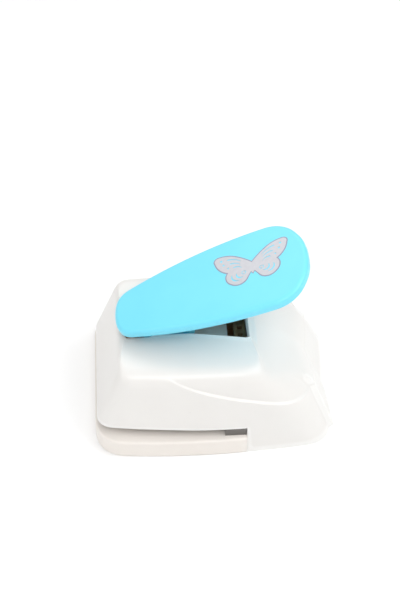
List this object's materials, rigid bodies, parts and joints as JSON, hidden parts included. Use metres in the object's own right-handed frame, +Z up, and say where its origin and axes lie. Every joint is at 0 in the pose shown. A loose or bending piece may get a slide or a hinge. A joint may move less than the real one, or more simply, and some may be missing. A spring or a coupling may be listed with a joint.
{
  "type": "craft punch",
  "caption": "Lever craft punch: a white moulded body with a paper slot, steel die set and return springs, and a hinged turquoise lever that drives a butterfly punch.",
  "frame": {"origin": "middle of the bounding box, on the surface the punch stands on", "axes": "+X along the body from the paper slot's open end to the closed end, +Z up, +Y away from the slot's front edge"},
  "size_m": [0.106, 0.0808, 0.0827],
  "materials": {
    "white_shell": "moulded, satin gloss",
    "lever_plastic": "moulded, gloss",
    "silver_mark": "hot-stamped silver",
    "die_steel": "ground",
    "plate_steel": "zinc plated",
    "dark_steel": "blackened",
    "passivated": "yellow-brown passivated",
    "bright_steel": "bright",
    "fastener": "zinc plated"
  },
  "bodies": {
    "base": {"base_tray": "white_shell", "bracket_rivets": "fastener", "bridge_screws": "fastener", "die_plate": "die_steel", "die_screws": "fastener", "guide_plate": "plate_steel", "guide_post_1": "bright_steel", "guide_post_2": "bright_steel", "guide_post_3": "bright_steel", "guide_post_4": "bright_steel", "housing_screws": "fastener", "pin_clips": "fastener", "pivot_bracket_back": "passivated", "pivot_bracket_front": "passivated", "pivot_pin": "bright_steel", "rear_bracket": "passivated", "return_spring_1": "bright_steel", "return_spring_2": "bright_steel", "return_spring_3": "bright_steel", "return_spring_4": "bright_steel", "stop_bridge": "plate_steel", "throat_block": "dark_steel", "throat_screws": "fastener", "upper_housing": "white_shell"},
    "lever": {"lever_cap": "lever_plastic", "lever_motif": "silver_mark"},
    "ram": {"punch_block": "die_steel", "ram_plate": "plate_steel", "press_pad": "die_steel", "ram_screws": "fastener", "pad_screws": "fastener"}
  },
  "joints": [
    {"name": "lever_pivot", "type": "hinge", "parent": "base", "child": "lever", "pos_m": [-0.035, 0, 0.0452], "axis": [0, 1, 0], "range_deg": [0, 24], "stiffness_Nm_per_rad": 0.35, "springref_deg": -20.05},
    {"name": "ram_slide", "type": "slide", "parent": "base", "child": "ram", "axis": [0, 0, -1], "range_m": [0, 0.00603], "stiffness_N_per_m": 60, "springref_m": -0.002, "deforming": ["return_spring_1", "return_spring_2", "return_spring_3", "return_spring_4"]}
  ],
  "couplings": [
    {"joint": "ram_slide", "follows": "lever_pivot", "m_per_rad": 0.014394}
  ]
}
